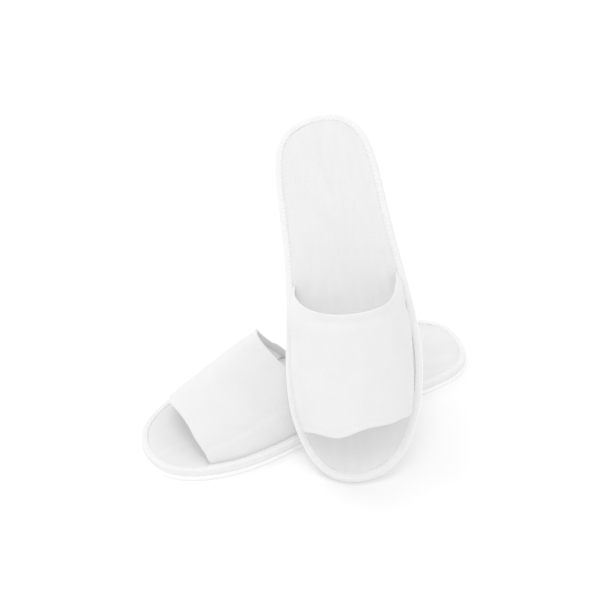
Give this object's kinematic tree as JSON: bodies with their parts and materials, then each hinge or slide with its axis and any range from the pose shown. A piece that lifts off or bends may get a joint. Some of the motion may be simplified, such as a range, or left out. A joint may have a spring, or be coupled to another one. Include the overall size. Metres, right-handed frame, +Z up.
{
  "type": "spa slippers",
  "caption": "Pair of open-toe white spa slippers with bound padded soles and soft arched vamps, the left one leaning across the right one.",
  "frame": {"origin": "middle of the right slipper's sole, on the floor that the pair stands on", "axes": "+Z up, -Y towards the right slipper's toe, +X towards the side on which the left slipper's toe meets the floor"},
  "size_m": [0.2141, 0.285, 0.2048],
  "materials": {
    "eva_sole": "smooth closed-cell foam with a fine moulded grip pattern underneath",
    "backing": "thin nonwoven cloth",
    "fibreboard": "pressed cellulose board",
    "foam": "soft open-cell foam",
    "velour": "short-pile velour",
    "tape": "folded woven tape",
    "thread": "twisted sewing thread",
    "felt": "brushed fleece, matte",
    "sponge": "thin sponge sheet",
    "lining": "smooth knitted lining"
  },
  "bodies": {
    "right_slipper": {"right_outsole": "eva_sole", "right_backing_cloth": "backing", "right_insole_board": "fibreboard", "right_foam_core": "foam", "right_insole_cover": "velour", "right_binding_tape": "tape", "right_binding_stitching": "thread", "right_vamp_outer": "felt", "right_vamp_padding": "sponge", "right_vamp_lining": "lining", "right_rear_hem_stitching": "thread", "right_front_hem_stitching": "thread", "right_lateral_seam": "thread", "right_medial_seam": "thread"},
    "left_slipper": {"left_outsole": "eva_sole", "left_backing_cloth": "backing", "left_insole_board": "fibreboard", "left_foam_core": "foam", "left_insole_cover": "velour", "left_binding_tape": "tape", "left_binding_stitching": "thread", "left_vamp_outer": "felt", "left_vamp_padding": "sponge", "left_vamp_lining": "lining", "left_rear_hem_stitching": "thread", "left_front_hem_stitching": "thread", "left_lateral_seam": "thread", "left_medial_seam": "thread"}
  },
  "joints": [
    {"name": "left_slipper_lift", "type": "slide", "parent": "right_slipper", "child": "left_slipper", "axis": [0, 0, 1], "range_m": [0, 0.12]}
  ]
}
